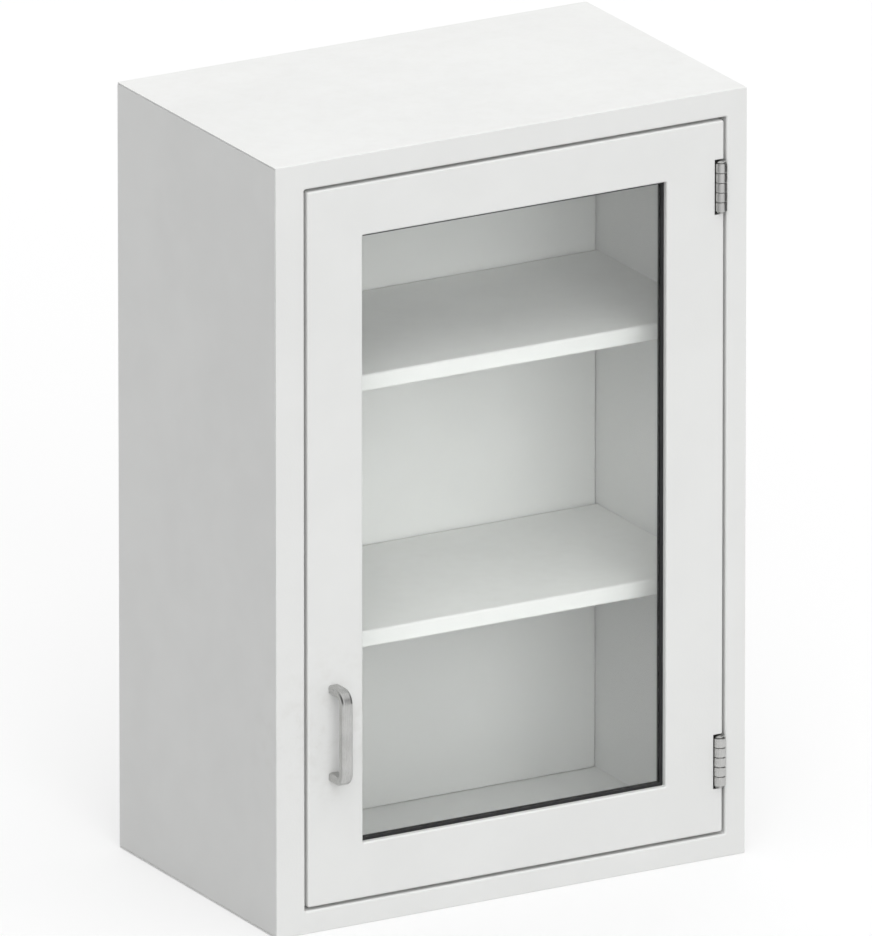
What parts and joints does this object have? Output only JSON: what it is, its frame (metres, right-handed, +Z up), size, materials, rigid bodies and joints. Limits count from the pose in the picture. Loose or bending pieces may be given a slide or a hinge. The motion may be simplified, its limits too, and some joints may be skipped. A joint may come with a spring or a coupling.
{
  "type": "glass door medical cabinet",
  "caption": "White sheet steel clinic cabinet with a face frame, an inset framed glass door on knuckle hinges, a bent bar pull, a magnetic catch and two loose shelves.",
  "frame": {"origin": "middle of the underside of the cabinet", "axes": "+X to the right seen from the front, where the hinges are; +Y from the door to the wall; +Z up"},
  "size_m": [0.508, 0.3323, 0.762],
  "materials": {
    "cabinet_paint": "white powder coat with a fine orange peel",
    "inner_paint": "white powder coat, a little duller inside",
    "zinc_plate": "bright zinc plate",
    "satin_steel": "satin stainless steel",
    "screw_steel": "bright steel screws",
    "clear_glass": "clear tempered glass, faintly green",
    "gasket_rubber": "black rubber glazing channel",
    "bumper_rubber": "grey rubber",
    "catch_plastic": "off-white moulded plastic",
    "magnet_ferrite": "dark grey ferrite"
  },
  "bodies": {
    "cabinet": {"left_side_panel": "cabinet_paint", "right_side_panel": "cabinet_paint", "top_panel": "cabinet_paint", "bottom_panel": "cabinet_paint", "latch_frame_stile": "cabinet_paint", "hinge_frame_stile": "cabinet_paint", "top_frame_rail": "cabinet_paint", "bottom_frame_rail": "cabinet_paint", "back_panel": "inner_paint", "upper_hanging_rail": "zinc_plate", "lower_hanging_rail": "zinc_plate", "catch_housing": "catch_plastic", "catch_magnet": "magnet_ferrite", "catch_pole_upper": "zinc_plate", "catch_pole_lower": "zinc_plate", "upper_shelf_rest_left_front": "inner_paint", "upper_shelf_rest_left_rear": "inner_paint", "upper_shelf_rest_right_front": "inner_paint", "upper_shelf_rest_right_rear": "inner_paint", "lower_shelf_rest_left_front": "inner_paint", "lower_shelf_rest_left_rear": "inner_paint", "lower_shelf_rest_right_front": "inner_paint", "lower_shelf_rest_right_rear": "inner_paint", "upper_hinge_frame_leaf": "satin_steel", "upper_hinge_pin": "satin_steel", "lower_hinge_frame_leaf": "satin_steel", "lower_hinge_pin": "satin_steel"},
    "upper_shelf": {"upper_shelf": "inner_paint"},
    "lower_shelf": {"lower_shelf": "inner_paint"},
    "door": {"door_front_skin": "cabinet_paint", "door_back_pan": "cabinet_paint", "glass_pane": "clear_glass", "glazing_gasket": "gasket_rubber", "door_pull": "satin_steel", "pull_backing_plate": "zinc_plate", "strike_plate": "zinc_plate", "strike_screw": "screw_steel", "glass_stop_top": "cabinet_paint", "glass_stop_hinge": "cabinet_paint", "glass_stop_bottom": "cabinet_paint", "glass_stop_latch": "cabinet_paint", "glass_stop_screw_top_1": "screw_steel", "glass_stop_screw_top_2": "screw_steel", "glass_stop_screw_hinge_1": "screw_steel", "glass_stop_screw_hinge_2": "screw_steel", "glass_stop_screw_bottom_1": "screw_steel", "glass_stop_screw_bottom_2": "screw_steel", "glass_stop_screw_latch_1": "screw_steel", "glass_stop_screw_latch_2": "screw_steel", "pull_screw_upper": "screw_steel", "pull_screw_lower": "screw_steel", "upper_hinge_door_leaf": "satin_steel", "lower_hinge_door_leaf": "satin_steel", "door_bumper_upper": "bumper_rubber", "door_bumper_lower": "bumper_rubber"}
  },
  "joints": [
    {"name": "door_hinge", "type": "hinge", "parent": "cabinet", "child": "door", "pos_m": [0.2262, -0.1525, 0.379], "axis": [0, 0, 1], "range_deg": [0, 170]},
    {"name": "upper_shelf_lift", "type": "slide", "parent": "cabinet", "child": "upper_shelf", "axis": [0, 0, 1], "range_m": [0, 0.03]},
    {"name": "lower_shelf_lift", "type": "slide", "parent": "cabinet", "child": "lower_shelf", "axis": [0, 0, 1], "range_m": [0, 0.03]}
  ]
}
